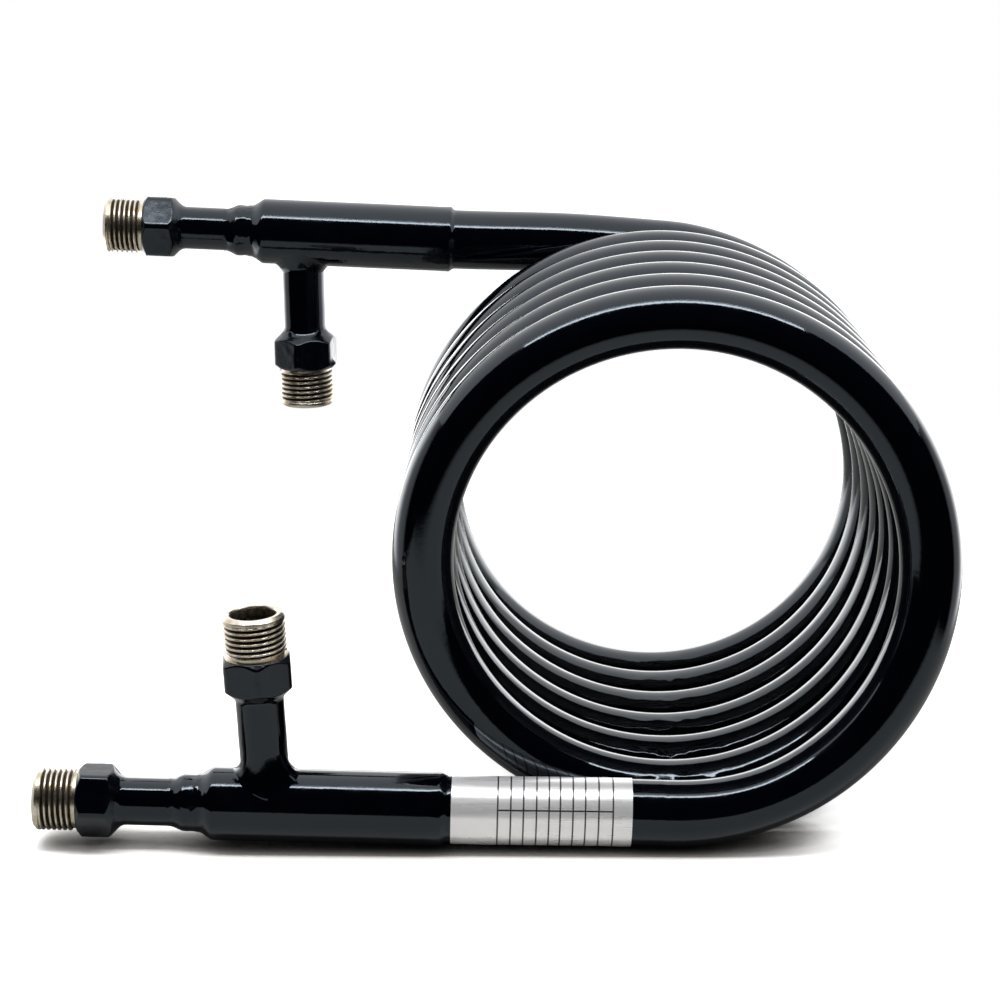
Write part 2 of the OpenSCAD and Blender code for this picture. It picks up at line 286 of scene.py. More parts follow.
# angle about a header, in degrees, of the streaks under it, and how high they are
UNDERSIDE = 231
STREAK = {"front": 0.02, "rear": 0.10}
ARM_SEED = {"front": 3.1, "rear": 17.7}
# how far apart the swells of an arm's skin lie: broad ones, lumps and fine ones
BROAD, LUMP, FINE = 22, 4.5, 1.6


def arm_skin(end):
    """Radius of the painted skin along an arm, as smooth steps."""
    start = HEADER_FROM[end]
    rim = start - 0.5
    return [
        (0, JACKET_R),
        (FILLET_FROM[end], JACKET_R),
        (rim, HEADER_R + 0.02),
        (start + 3, HEADER_R),
        (SHOULDER_FROM, HEADER_R),
        (HEADER_TO - NECK_LEN, NECK_R + 0.2),
        (HEADER_TO - 3.2, NECK_R - 0.05),
        (HEADER_TO - 0.4, NECK_R),
        (HEADER_TO + NECK_BEAD, INNER_R + 0.03),
        (PORT_REACH, INNER_R + 0.03),
    ]


def arm_roughness(end):
    """How unevenly the paint and the braze under it lie, at points of an arm."""
    seed = ARM_SEED[end]
    start = HEADER_FROM[end]
    run = ARM[end]

    def amount(points, z):
        offset = points - run.origin
        around = np.degrees(np.arctan2(offset @ run.back, offset @ run.up)) % 360
        inside = float(ease(z, start, start + 6)) * float(1 - ease(z, SHOULDER_FROM - 6, SHOULDER_FROM))
        under = STREAK[end] * inside * np.exp(-(((around - UNDERSIDE) / 14) ** 2))
        at_rim = math.exp(-(((z - start + 1) / 2.2) ** 2))
        at_neck = float(ease(z, SHOULDER_FROM + 1, HEADER_TO - 5)) * float(1 - ease(z, 166, 172))
        near_port = float(ease(z, PORT_REACH - 5, PORT_REACH - 1))
        broad = 0.035 * field(points, BROAD, seed)
        lumps = (0.12 * at_rim + 0.19 * at_neck + 0.12 * near_port) * field(points, LUMP, seed + 5)
        fine = (0.03 * at_rim + 0.09 * at_neck + under) * field(points, FINE, seed + 9)
        return broad + lumps + fine

    return amount


def skin_part(end, low, high, step):
    knots = arm_skin(end)
    return [(z, eased(knots, z)) for z in spaced(low, high, step)]


# ---- the wound tubes ----
BEND_STEP = 1.5
NEAR_BOTTOM = 16
FINE_STEP = 0.5
FLAT_RADIAL = 10.2
FLAT_AXIAL = 11.25
FLAT_OVER = 26
BORE_SKIP = 3
# how far the hand-bent tube lies outside its true circle, by distance from the last bend outwards
REAR_BOW = [(-145, 0.0), (-102, -0.95), (-22, -0.95), (38, 0.65), (80, 0.0)]
FRONT_BOW = [(-50, 0.0), (6, -0.7), (72, 0.0)]


def turn_marks(low, high, step):
    """Angles of a half turn's stations, closer together near the coil's bottom."""
    if low < 0:
        return spaced(low, low + NEAR_BOTTOM, FINE_STEP)[:-1] + spaced(low + NEAR_BOTTOM, high, step)
    return spaced(low, high - NEAR_BOTTOM, step)[:-1] + spaced(high - NEAR_BOTTOM, high, FINE_STEP)


def wound_stations(front_len, rear_len, arm_step, bend_step):
    """Stations of a wound tube: centre, outwards, along the coil's axis, bend share, turn angle."""
    stations = []
    for s in spaced(0, front_len, arm_step)[:0:-1]:
        run = ARM["front"]
        centre = run.at(s) - eased(FRONT_BOW, s) * run.up
        stations.append((centre, -run.up, run.back, 0.0, -90.0))
    for k in range(HALF_TURNS):
        across, up = turn_axes(k)
        low = -90 * climb(k) - (math.degrees(RISE["front"]) if k == 0 else 0)
        high = -90 * climb(k) + 180 - (math.degrees(RISE["rear"]) if k == HALF_TURNS - 1 else 0)
        for a in turn_marks(low, high, bend_step)[:-1]:
            c, s = math.cos(math.radians(a)), math.sin(math.radians(a))
            centre = in_plane(k, ARC_R * c, ARC_R * s) + PLACE
            along = c * up - s * across
            side = np.array([0, 1.0, 0]) - along[1] * along
            side /= np.linalg.norm(side)
            out = np.cross(side, along)
            bent = 1.0
            if k == 0:
                bent = float(ease(a - low, 0, FLAT_OVER))
                centre = centre + eased(FRONT_BOW, -math.radians(a - low) * ARC_R) * out
            if k == HALF_TURNS - 1:
                bent = float(ease(high - a, 0, FLAT_OVER))
                centre = centre + eased(REAR_BOW, -math.radians(high - a) * ARC_R) * out
            stations.append((centre, out, side, bent, a))
    for s in spaced(0, rear_len, arm_step):
        run = ARM["rear"]
        centre = run.at(s) + eased(REAR_BOW, s) * run.up
        stations.append((centre, run.up, run.back, 0.0, 90.0))
    return stations


# where the paint gathers between touching turns: from which turn to which, at which angle of the
# tube, how wide in degrees and how high
GATHERED = [(-1, 2.2, 236, 20, 0.9), (2.2, 8, 212, 12, 0.5)]
COIL_WAVE, COIL_SWELL, COIL_SEED = 0.03, 30, 1.3
STREAK_SEED = 40.0
RAGGED_SEED = 70.0


def coil_paint(points, station, around):
    """Waviness of the wound tube, and paint lumps low inside the coil where the turns touch."""
    centre, _, _, bent, angle = station
    from_bottom = (angle + 90 + 180) % 360 - 180
    turn = (centre[1] - PLACE[1]) / TURN_PITCH
    swell = COIL_WAVE * field(points, COIL_SWELL, COIL_SEED)
    for first, last, where, width, height in GATHERED:
        low = math.exp(-(((from_bottom - 2) / 11) ** 2)) if bent > 0.9 and first <= turn < last else 0.0
        if low > 0.02:
            band = np.exp(-(((np.degrees(around) % 360 - where) / width) ** 2))
            streaks = field(points * np.array([0.4, 1, 1]), 2.6, STREAK_SEED + round(turn))
            ragged = field(points * np.array([0.6, 1, 1]), 1.0, RAGGED_SEED)
            swell = swell + low * band * height * (np.clip(streaks + 0.15, 0, 1) + 0.22 * ragged)
    return swell


def wound_piece(name, radius, wall, lens, steps, sides, flattened):
    """A tube with a wall, wound as the coil with its two arms."""
    around = np.arange(sides) * 2 * math.pi / sides
    cos, sin = np.cos(around), np.sin(around)
    stations = wound_stations(lens[0], lens[1], steps[0], steps[1])
    radial, axial = (FLAT_RADIAL - JACKET_R, FLAT_AXIAL - JACKET_R) if flattened else (0, 0)
    rings = []
    for station in stations:
        centre, out, side, bent, _ = station
        a = radius + bent * radial
        b = radius + bent * axial
        points = centre + np.outer(a * cos, out) + np.outer(b * sin, side)
        if flattened:
            push = coil_paint(points, station, around)
            points = points + (points - centre) / radius * push[:, None]
        rings.append(points)
    inside = stations[::-1][::BORE_SKIP]
    if (len(stations) - 1) % BORE_SKIP:
        inside.append(stations[0])
    for centre, out, side, bent, _ in inside:
        a = radius - wall + bent * radial
        b = radius - wall
        rings.append(centre + np.outer(a * cos, out) + np.outer(b * sin, side))
    return ring_piece(name, rings)


def outer_tube():
    lens = (FRONT_HEADER_FROM + LAP_LEN, REAR_HEADER_FROM + LAP_LEN)
    return wound_piece("outer_tube_painted", JACKET_R, JACKET_WALL, lens, (2.0, BEND_STEP), 64, True)


def inner_tube():
    reach = PORT_REACH + SOCKET_DEPTH - BRAZE_GAP
    lens = (reach, reach)
    return wound_piece("inner_tube_painted", INNER_R + 0.01, INNER_WALL, lens, (2.0, 6.0), 48, False)


# ---- headers and the brazes of the arms ----
def header(end):
    start = HEADER_FROM[end]
    sleeve = skin_part(end, start, SHOULDER_FROM - 2, 1.0)
    skin = sleeve + skin_part(end, SHOULDER_FROM - 1.7, HEADER_TO, 0.3)
    bore = [
        (start, HEADER_BORE_R),
        (SHOULDER_FROM - HEADER_WALL, HEADER_BORE_R),
        (HEADER_TO - NECK_LEN - NECK_WALL, NECK_BORE_R),
        (HEADER_TO, NECK_BORE_R),
    ]
    piece = turned(end + "_header_painted", ARM[end], skin, bore, arm_roughness(end), 128)
    cut_hole(piece, BRANCH[end], BRANCH_R + BRAZE_GAP, 2, HEADER_R + 6)
    return piece


def lap_braze(end):
    start = HEADER_FROM[end]
    low = FILLET_FROM[end] - 0.3
    skin = skin_part(end, low, start, 0.2)
    bore = [(low, JACKET_R - 0.05), (start, JACKET_R - 0.05)]
    return turned(end + "_lap_braze_painted", ARM[end], skin, bore, arm_roughness(end), 128)


def neck_braze(end):
    high = HEADER_TO + NECK_BEAD + 0.5
    skin = skin_part(end, HEADER_TO, high, 0.25)
    bore = [(HEADER_TO, INNER_R - 0.05), (high, INNER_R - 0.05)]
    return turned(end + "_neck_braze_painted", ARM[end], skin, bore, arm_roughness(end), 128)


def foot_radius(z, tube_r):
    """Radius of the fillet that runs up to a fitting's cone, z from the fitting's inner face."""
    into = max(0.0, z + CONE_FOOT)
    return tube_r + 0.03 + CONE_SLOPE * into * into / (2 * CONE_FOOT)


def socket_braze(name, run, tube_r, seed):
    """Fillet between a tube and its fitting, in the fitting's own run."""
    skin = [(z, foot_radius(z, tube_r)) for z in spaced(-CONE_FOOT - 0.2, 0, 0.2)]
    bore = [(-CONE_FOOT - 0.2, tube_r - 0.05), (0, tube_r - 0.05)]

    def uneven(points, z):
        return 0.12 * float(ease(z, -CONE_FOOT, -0.6)) * field(points, 3.5, seed)

    return turned(name, run, skin, bore, uneven, 96)


# ---- water branches ----
BRANCH_SEED = {"front": 51.0, "rear": 63.0}


def branch_tube(end):
    run = BRANCH[end]
    low = HEADER_R - 3.2
    reach = BRANCH_REACH[end]
    high = reach + SOCKET_DEPTH - BRAZE_GAP
    skin = [(z, BRANCH_R + 0.01) for z in spaced(low, high, 0.8)]
    bore = [(low, BRANCH_R - BRANCH_WALL), (high, BRANCH_R - BRANCH_WALL)]
    seed = BRANCH_SEED[end]

    def uneven(points, z):
        return 0.07 * field(points, 7, seed) * float(1 - ease(z, reach - 4, reach - 2))

    return turned(end + "_branch_tube_painted", run, skin, bore, uneven, 96)


# least reach of the saddle fillet, how much more along the header, and how much higher it climbs in front
SADDLE_REACH = {"front": (2.3, 1.3, 2.1), "rear": (2.2, 0.6, 0.2)}
SADDLE_FLAT = 0.5
SADDLE_RISE = 1.15
# how wide a fillet may stand, as a share of the header's radius
SADDLE_WIDEST = 0.955
SADDLE_SEED = {"front": 81.0, "rear": 95.0}


def saddle_braze(end):
    """Uneven fillet where the branch stands on its header."""
    run = BRANCH[end]
    lean = math.radians(BRANCH_LEAN[end])
    sides, steps = 128, 12
    seed = SADDLE_SEED[end]
    base, extra, climb_more = SADDLE_REACH[end]
    toward = -run.back[1] / abs(run.back[1])

    def header_height(x, y, r):
        """Height over the header's axis, along the branch, of its surface at (x, y)."""
        slant = x * math.sin(lean)
        return (math.sqrt(max(r * r - y * y, 1e-6)) - slant) / math.cos(lean)

    columns = []
    for i in range(sides):
        angle = i * 2 * math.pi / sides
        c, s = math.cos(angle), math.sin(angle)
        probe = np.array([[c * BRANCH_R, s * BRANCH_R, seed]])
        lump = float(field(probe, 5.0, seed)[0])
        reach = base + extra * (0.5 + 0.5 * c) + 0.8 * lump
        limit = SADDLE_WIDEST * HEADER_R
        reach = min(reach, max(0.5, (limit - BRANCH_R * abs(s)) / max(abs(s), 0.2)))
        column = []
        for j in range(steps + 1):
            t = j / steps * math.pi / 2
            hollow, straight = 1 - SADDLE_FLAT, SADDLE_FLAT * j / steps
            r = BRANCH_R - 0.02 + reach * (hollow * (1 - math.sin(t)) + SADDLE_FLAT - straight)
            height = reach * (SADDLE_RISE + climb_more * max(0.0, s * toward))
            up = height * (hollow * (1 - math.cos(t)) + straight)
            x, y = r * c, r * s
            edge = 0.12 * float(field(np.array([[x, y, up]]), 1.8, seed + 3)[0]) * math.sin(2 * t)
            z = header_height(x, y, HEADER_R - 0.03) + up + edge
            column.append((x, y, z))
        x, y = (BRANCH_R - 0.6) * c, (BRANCH_R - 0.6) * s
        column.append((x, y, column[-1][2]))
        column.append((x, y, header_height(x, y, HEADER_R - 0.8)))
        x, y = (BRANCH_R + reach * 0.8) * c, (BRANCH_R + reach * 0.8) * s
        column.append((x, y, header_height(x, y, HEADER_R - 0.8)))
        columns.append(column)
    rows = len(columns[0])
    points = []
    for j in range(rows):
        for column in columns:
            x, y, z = column[j]
            points.append(run.origin + x * run.up + y * run.back + z * run.axis)
    return make_piece(end + "_saddle_braze_painted", points, hoop_faces(rows, sides), crease=60)


# ---- fittings ----
EDGE_SOFT = 0.25
# drip of paint left on a hexagon: how far along, at which angle, how wide in degrees, how high
DRIP = {"rear_water": (10.8, 205, 8, 1.6)}
THREAD_SIDES = 120
# where along the thread a crest lies at angle 0, and how much wider than its root its neck is
THREAD_PHASE = 1.45
THREAD_NECK = 0.25


def soft_min(a, b, width):
    """The smaller of two, with the corner rounded over width."""
    h = np.clip(0.5 + 0.5 * (b - a) / width, 0, 1)
    return b + (a - b) * h - width * h * (1 - h)


def hexagon_radius(angles, turn):
    """Distance to a hexagon's side at each angle; a corner lies at turn."""
    sixth = math.pi / 3
    off = (angles - math.radians(turn)) % sixth - sixth / 2
    return HEX_FLATS / 2 / np.cos(off)


def thread_radius(angles, z):
    """Radius of the helical thread and how deep in its groove that is, which sets the painted shade; z from
    the hexagon's end.
    """
    phase = (z - THREAD_PHASE) / THREAD_PITCH - angles / (2 * math.pi)
    away = np.abs(phase - np.round(phase))
    crest = 1 - ease(away, 0.10, 0.42)
    crest = np.maximum(crest, float(ease(z, THREAD_LEN - 2.7, THREAD_LEN - 1.8)))
    depth = THREAD_R - THREAD_ROOT_R
    neck = THREAD_ROOT_R + THREAD_NECK
    grown = ease(z - (angles / (2 * math.pi)) * 0.6, 0.6, 1.5)
    radius = neck + (THREAD_ROOT_R + depth * crest - neck) * grown
    chamfer = THREAD_ROOT_R + (THREAD_LEN - z)
    return soft_min(radius, np.full_like(radius, chamfer), 0.12), (1 - crest) * grown


def fitting(name, run, turn, tube_r):
    """Brazed-on fitting: painted cone and hexagon, bare helical thread and bore."""
    angles = np.arange(THREAD_SIDES) * 2 * math.pi / THREAD_SIDES
    hex_to = CONE_LEN + HEX_LEN
    flats = hexagon_radius(angles, turn)
    flat = np.ones_like(flats)
    seed = 7.0 * len(name) + turn
    rings, bare, grooves = [], [], []

    def add(z, radii, is_bare, rough=0.0, groove=0.0):
        points = run.ring(z, angles, radii)
        if rough:
            points = swollen(points, run, rough * field(points, 3.0, seed))
        rings.append(points)
        bare.append(is_bare)
        grooves.append(groove * flat)

    hanging = DRIP.get(name.replace("_fitting_finished", ""))
    for z in spaced(0, hex_to - 0.25, 0.2):
        cone = foot_radius(0, tube_r) + CONE_SLOPE * z
        end_cone = HEX_FACE_R + (hex_to - z) * (HEX_CORNER_R - HEX_FACE_R) / END_CHAMFER
        radii = soft_min(flats, HEX_CORNER_R * flat, EDGE_SOFT)
        radii = soft_min(radii, cone * flat, EDGE_SOFT * 1.6)
        radii = soft_min(radii, end_cone * flat, EDGE_SOFT)
        if hanging:
            at, turn_at, wide, high = hanging
            off = (np.degrees(angles) - turn_at + 180) % 360 - 180
            radii = radii + high * np.exp(-((off / wide) ** 2)) * math.exp(-(((z - at) / 1.2) ** 2))
        add(z, radii, False, 0.05)
    add(hex_to - 0.1, radii - 0.12, False)
    add(hex_to, radii - 0.4, True)
    add(hex_to, (THREAD_ROOT_R + THREAD_NECK) * flat, True)
    for z in spaced(0.1, THREAD_LEN, THREAD_PITCH / 18):
        radii, groove = thread_radius(angles, z)
        add(hex_to + z, radii, True, 0.0, groove)
    # the bore's rings, each with how deep it lies, for the painted shade inside the bore
    for z, radius, groove in (
        (FITTING_LEN, BORE_R + 0.55, 0.0),
        (FITTING_LEN - 0.5, BORE_R + 0.05, 0.1),
        (FITTING_LEN - 0.9, BORE_R, 0.6),
        (FITTING_LEN - 4, BORE_R, 0.75),
        (SOCKET_DEPTH, BORE_R, 0.9),
        (SOCKET_DEPTH, tube_r + BRAZE_GAP, 0.9),
        (0, tube_r + BRAZE_GAP, 0.9),
    ):
        add(z, radius * flat, True, 0.0, groove)
    piece = ring_piece(name, rings, 38)
    # groove: how deep each point lies in a thread groove or the bore, which the bare metal turns into
    # painted shade
    mark = piece.data.attributes.new("groove", "FLOAT", "POINT")
    mark.data.foreach_set("value", np.concatenate(grooves).astype(np.float32))
    count = len(rings)
    picks = []
    for i in range(count):
        picks += [1 if bare[i] and bare[(i + 1) % count] else 0] * THREAD_SIDES
    piece.data.materials.append(MATERIAL["worn"])
    piece.data.materials.append(MATERIAL["metal"])
    piece.data.polygons.foreach_set("material_index", picks)
    return piece


# ---- label ----
LABEL_WAVE, LABEL_SWELL, LABEL_SEED = 0.03, 9, 12.0
LABEL_STEP = 2.5


def label():
    """Foil sheet round the front arm, its two ends apart at the back."""
    run = ARM["front"]
    inside = JACKET_R + LABEL_GLUE
    outside = inside + LABEL_T
    half_open = math.radians(360 - LABEL_WRAP) / 2
    low, high = math.pi / 2 + half_open, math.pi / 2 + 2 * math.pi - half_open
    angles = np.array(spaced(low, high, math.radians(LABEL_STEP)))
    lengths = np.array(spaced(LABEL_FROM, LABEL_TO, 1.0))
    across, along = len(angles), len(lengths)
    points, places = [], []
    for radius in (outside, inside):
        for s in lengths:
            ring = run.ring(s, angles, np.full(across, radius)) - eased(FRONT_BOW, s) * run.up
            ring = swollen(ring, run, LABEL_WAVE * field(ring, LABEL_SWELL, LABEL_SEED))
            points.append(ring)
            places += [((a - low) * outside, s - LABEL_FROM) for a in angles]
    points = np.concatenate(points)
    layer = across * along
    faces = []
    for i in range(along - 1):
        for j in range(across - 1):
            a, b = i * across + j, (i + 1) * across + j
            faces.append((a, a + 1, b + 1, b))
            faces.append((layer + a, layer + b, layer + b + 1, layer + a + 1))
    edge = list(range(across))
    edge += [i * across + across - 1 for i in range(1, along)]
    edge += [(along - 1) * across + j for j in range(across - 2, -1, -1)]
    edge += [i * across for i in range(along - 2, 0, -1)]
    for a, b in zip(edge, edge[1:] + edge[:1]):
        faces.append((b, a, layer + a, layer + b))
    return make_piece("rating_label_foil", points, faces, places, 50)


# ---- materials ----
class Tree:
    """Short way to add nodes and feed their sockets."""

    def __init__(self, owner):
        owner.use_nodes = True
        self.tree = owner.node_tree
        self.tree.nodes.clear()

    def add(self, kind, feeds=None, **settings):
        node = self.tree.nodes.new("ShaderNode" + kind)
        for key, value in settings.items():
            setattr(node, key, value)
        for key, value in (feeds or {}).items():
            socket = node.inputs[key]
            if isinstance(value, bpy.types.NodeSocket):
                self.tree.links.new(value, socket)
            else:
                socket.default_value = value
        return node

    def math(self, operation, a, b=0.0):
        return self.add("Math", {0: a, 1: b}, operation=operation).outputs[0]

    def ramp(self, value, low, high, start=0.0, end=1.0):
        """Smooth step from start to end while value goes from low to high."""
        feeds = {"Value": value, "From Min": low, "From Max": high, "To Min": start, "To Max": end}
        return self.add("MapRange", feeds, interpolation_type="SMOOTHSTEP").outputs["Result"]

    def noise(self, where, size_mm, detail=2.0, roughness=0.5):
        feeds = {"Vector": where, "Scale": 1 / (size_mm * MM), "Detail": detail, "Roughness": roughness}
        return self.add("TexNoise", feeds).outputs["Fac"]


def gloss_paint(name, smooth, dull, relief):
    """Thick gloss black paint: nearly mirror-like, faintly blue, with orange peel and dust."""
    material = bpy.data.materials.new(name)
    t = Tree(material)
    where = t.add("TexCoord").outputs["Object"]
    tone = t.noise(where, 14, 3)
    colour = t.add("MixRGB", {0: tone, 1: (0.0004, 0.0006, 0.0016, 1), 2: (0.0010, 0.0012, 0.0026, 1)})
    smudge = t.noise(where, 9, 4, 0.6)
    dust = t.ramp(t.noise(where, 0.5, 2), 0.66, 0.74)
    gloss = t.ramp(smudge, 0.35, 0.75, smooth, dull)
    rough = t.math("ADD", gloss, t.math("MULTIPLY", dust, 0.10))
    peel = t.noise(where, 2.2, 2)
    fine = t.noise(where, 0.7, 2)
    height = t.math("ADD", peel, t.math("MULTIPLY", fine, 0.25))
    bump = t.add("Bump", {"Strength": 0.35, "Distance": relief * MM, "Height": height})
    shader = t.add(
        "BsdfPrincipled",
        {
            "Base Color": colour.outputs[0],
            "Roughness": rough,
            "IOR": 1.53,
            "Specular Tint": (0.76, 0.88, 1.0, 1),
            "Normal": bump.outputs[0],
        },
    )
    t.add("OutputMaterial", {"Surface": shader.outputs[0]})
    return material


def bare_metal():
    """Plated steel left bare: warm, turned, with painted shade that darkens the thread's grooves and the
    bore.
    """
    material = bpy.data.materials.new("bare_plating")
    t = Tree(material)
    where = t.add("TexCoord").outputs["Object"]
    stain = t.ramp(t.noise(where, 5, 4, 0.6), 0.35, 0.7)
    colour = t.add("MixRGB", {0: stain, 1: (0.70, 0.65, 0.56, 1), 2: (0.46, 0.39, 0.28, 1)}).outputs[0]
    # painted shade: the groove mark, deepest in the thread's grooves and inside the bore, with a little
    # noise, darkens the colour to near black and raises the roughness
    groove = t.add("Attribute", attribute_name="groove").outputs["Fac"]
    uneven = t.math("MULTIPLY", t.math("SUBTRACT", t.noise(where, 1.5, 3), 0.5), 0.5)
    painted_shade = t.ramp(t.math("ADD", groove, uneven), 0.25, 0.85, 0.0, 0.96)
    colour = t.add("MixRGB", {0: painted_shade, 1: colour, 2: (0.020, 0.014, 0.010, 1)}).outputs[0]
    fine = t.noise(where, 0.25, 3, 0.6)
    rough = t.math("ADD", t.ramp(fine, 0.3, 0.7, 0.20, 0.36), t.math("MULTIPLY", painted_shade, 0.3))
    bump = t.add("Bump", {"Strength": 0.4, "Distance": 0.00003, "Height": fine})
    shader = t.add(
        "BsdfPrincipled",
        {
            "Base Color": colour,
            "Metallic": 1.0,
            "Roughness": rough,
            "Normal": bump.outputs[0],
        },
    )
    t.add("OutputMaterial", {"Surface": shader.outputs[0]})
    return material


RULE_W = 0.34
RULES_AT = [6.4, 11.1, 15.5, 19.6, 23.8, 27.5, 31.6, 35.9, 40.1, 44.4]
LONG_RULE_AT = 35.2


def foil():
    """Brushed silver foil with thin ruled lines round the tube."""
    material = bpy.data.materials.new("silver_foil")
    t = Tree(material)
    place = t.add("UVMap", uv_map="place_mm").outputs[0]
    split = t.add("SeparateXYZ", {0: place})
    round_mm, along_mm = split.outputs[0], split.outputs[1]
    lines = 0.0
    for at in RULES_AT:
        off = t.math("ABSOLUTE", t.math("SUBTRACT", along_mm, at))
        line = t.ramp(off, RULE_W / 2, RULE_W, 1.0, 0.0)
        lines = t.math("MAXIMUM", line, lines)
    off = t.math("ABSOLUTE", t.math("SUBTRACT", round_mm, LONG_RULE_AT))
    line = t.ramp(off, RULE_W / 2, RULE_W, 1.0, 0.0)
    line = t.math("MULTIPLY", line, t.math("GREATER_THAN", along_mm, RULES_AT[0]))
    line = t.math("MULTIPLY", line, t.math("LESS_THAN", along_mm, RULES_AT[-1]))
    lines = t.math("MAXIMUM", line, lines)
    where = t.add("TexCoord").outputs["Object"]
    brushed = t.add("VectorMath", {0: where, 1: (0.05, 1.0, 1.0)}, operation="MULTIPLY").outputs[0]
    grain = t.noise(brushed, 1.2, 2)
    blotch = t.noise(where, 7, 3)
    silver = t.add("MixRGB", {0: blotch, 1: (0.97, 0.97, 0.98, 1), 2: (0.90, 0.90, 0.92, 1)})
    colour = t.add("MixRGB", {0: lines, 1: silver.outputs[0], 2: (0.05, 0.045, 0.05, 1)})
    rough = t.ramp(grain, 0.3, 0.7, 0.27, 0.33)
    bump = t.add("Bump", {"Strength": 0.15, "Distance": 0.00004, "Height": t.noise(where, 3.5, 2)})
    shader = t.add(
        "BsdfPrincipled",
        {
            "Base Color": colour.outputs[0],
            "Metallic": 0.6,
            "Roughness": rough,
            "Normal": bump.outputs[0],
        },
    )
    t.add("OutputMaterial", {"Surface": shader.outputs[0]})
    return material


# ---- studio ----
CAMERA_AT = (5.224, -851.32, 322.54)
CAMERA_YAW = -0.300
CAMERA_PITCH = 14.709
CAMERA_ROLL = 0.248
CAMERA_LENS = 89.50
SENSOR = 36.0

WHITE = (1, 1, 1, 1)
CEILING_AT = 0.62
CEILING_FROM, CEILING_TO = -0.16, 2.0
CEILING_HALF = 1.5
CEILING_LEVEL = 1.45
WALL_FROM = 110
WALL_LEVEL = 1.5
HORIZON_LEVEL = 3.2
HORIZON_FADE = (0.16, 0.32)
BEHIND_FADE = (-0.1, 0.1)
BESIDE_FADE = (0.7, 0.95)
BESIDE_LEVEL = 0.25
FILL_LEVEL = 0.35
STRIP_AT = (0.0, -0.1675, 0.62)
STRIP_SIZE = (0.8, 0.1)
STRIP_POWER = 3.9


def camera():
    yaw, pitch, roll = (math.radians(a) for a in (CAMERA_YAW, CAMERA_PITCH, CAMERA_ROLL))
    ahead = Vector((math.sin(yaw) * math.cos(pitch), math.cos(yaw) * math.cos(pitch), -math.sin(pitch)))
    level = Vector((math.cos(yaw), -math.sin(yaw), 0))
    above = level.cross(ahead)
    right = math.cos(roll) * level + math.sin(roll) * above
    up = math.cos(roll) * above - math.sin(roll) * level
    data = bpy.data.cameras.new("photo_camera")
    data.lens = CAMERA_LENS
    data.sensor_width = SENSOR
    data.clip_start = 0.05
    data.clip_end = 50
    item = bpy.data.objects.new("photo_camera", data)
    turn = Matrix((right, up, -ahead)).transposed().to_4x4()
    item.matrix_world = Matrix.Translation(Vector(CAMERA_AT) * MM) @ turn
    bpy.context.scene.collection.objects.link(item)
    bpy.context.scene.camera = item


def plane_side(t, split, angle):
    """How far a direction lies behind the plane through the X axis that rises at angle from the front."""
    a = math.radians(angle)
    return t.math("ADD", t.math("MULTIPLY", split.outputs[1], math.sin(a)),
                  t.math("MULTIPLY", split.outputs[2], math.cos(a)))


def surroundings():
    """White room seen by the camera; in reflections white behind and dark in front."""
    world = bpy.data.worlds.new("studio")
    bpy.context.scene.world = world
    t = Tree(world)
    split = t.add("SeparateXYZ", {0: t.add("TexCoord").outputs["Generated"]})
    height = t.ramp(split.outputs[2], *HORIZON_FADE, HORIZON_LEVEL, WALL_LEVEL)
    behind = t.ramp(plane_side(t, split, WALL_FROM), *BEHIND_FADE)
    beside = t.ramp(t.math("ABSOLUTE", split.outputs[0]), *BESIDE_FADE, 1.0, BESIDE_LEVEL)
    wall = t.math("MULTIPLY", t.math("MULTIPLY", behind, beside), height)
    path = t.add("LightPath")
    seen = t.math("MAXIMUM", path.outputs["Is Glossy Ray"], path.outputs["Is Transmission Ray"])
    level = t.add("Mix", {0: seen, 2: FILL_LEVEL, 3: wall}, data_type="FLOAT").outputs[0]
    level = t.add("Mix", {0: path.outputs["Is Camera Ray"], 2: level, 3: 1.0}, data_type="FLOAT").outputs[0]
    light = t.add("Background", {"Color": WHITE, "Strength": level})
    t.add("OutputWorld", {"Surface": light.outputs[0]})


def lamp():
    data = bpy.data.lights.new("strip_lamp", "AREA")
    data.shape = "RECTANGLE"
    data.size, data.size_y = STRIP_SIZE
    data.energy = STRIP_POWER
    item = bpy.data.objects.new("strip_lamp", data)
    item.location = STRIP_AT
    item.visible_camera = False
    bpy.context.scene.collection.objects.link(item)


def ceiling():
    """White ceiling behind the strip lamp, there for reflections alone."""
    low, high = CEILING_FROM / MM, CEILING_TO / MM
    half, z = CEILING_HALF / MM, CEILING_AT / MM
    points = [(-half, low, z), (-half, high, z), (half, high, z), (half, low, z)]
    piece = make_piece("studio_ceiling", points, [(0, 1, 2, 3)])
    material = bpy.data.materials.new("white_ceiling")
    t = Tree(material)
    glow = t.add("Emission", {"Color": WHITE, "Strength": CEILING_LEVEL})
    t.add("OutputMaterial", {"Surface": glow.outputs[0]})
    piece.data.materials.append(material)
    piece.visible_camera = False
    piece.visible_diffuse = False
    piece.visible_transmission = False
    piece.visible_shadow = False


FLOOR_HALF, FLOOR_STEPS = 900, 60
FLOOR_Z = -0.05
# where the floor fades into the room, in metres
FADE_MIDDLE = 0.02
FADE_ASIDE = (0.26, 0.34)
FADE_NEAR = (-0.38, -0.26)
FADE_FAR = (0.35, 0.60)
# how far the close shadow reaches, in metres, and over which shares of open floor it and the glow fade
SHADOW_REACH = 0.022
SHADOW_FADE = (0.08, 0.58)
GLOW_FADE = (0.42, 0.8)
FLOOR_GLOW = 0.9
FLOOR_MIRRORED = (0.64, 0.64, 0.62, 1)


